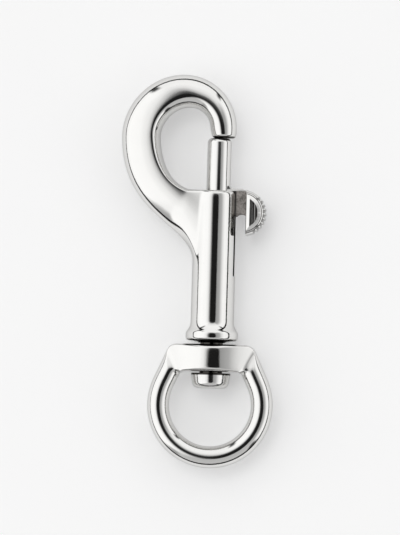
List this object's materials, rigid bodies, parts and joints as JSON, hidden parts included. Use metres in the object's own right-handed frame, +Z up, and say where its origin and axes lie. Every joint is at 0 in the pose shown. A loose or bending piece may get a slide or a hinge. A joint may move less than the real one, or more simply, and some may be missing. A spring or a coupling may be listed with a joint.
{
  "type": "swivel snap hook",
  "caption": "Metal swivel-eye bolt snap: a hook closed by a sprung sliding bolt with a thumb knob, on an eye that turns on a headed pin.",
  "frame": {"origin": "centre of the eye's round opening, on the barrel's axis and on the snap's middle plane", "axes": "+Y along the barrel towards the hook, +X towards the thumb knob, +Z up out of the plane the snap lies in"},
  "size_m": [0.0385, 0.0951, 0.0126],
  "materials": {
    "polished_casting": "polished stainless casting",
    "polished_bolt": "polished rod and knob, as-cast stem",
    "spring_wire": "drawn spring wire",
    "turned_pin": "polished turned rivet",
    "polished_eye": "polished stainless casting"
  },
  "bodies": {
    "hook": {"hook_body": "polished_casting", "spring": "spring_wire", "swivel_pin": "turned_pin"},
    "bolt": {"bolt": "polished_bolt"},
    "eye": {"swivel_eye": "polished_eye"}
  },
  "joints": [
    {"name": "bolt_slide", "type": "slide", "parent": "hook", "child": "bolt", "axis": [0, -1, 0], "range_m": [0, 0.0143], "stiffness_N_per_m": 450, "springref_m": -0.01, "deforming": ["spring"]},
    {"name": "eye_swivel", "type": "hinge", "parent": "hook", "child": "eye", "pos_m": [0, 0, 0], "axis": [0, 1, 0], "continuous": true}
  ]
}
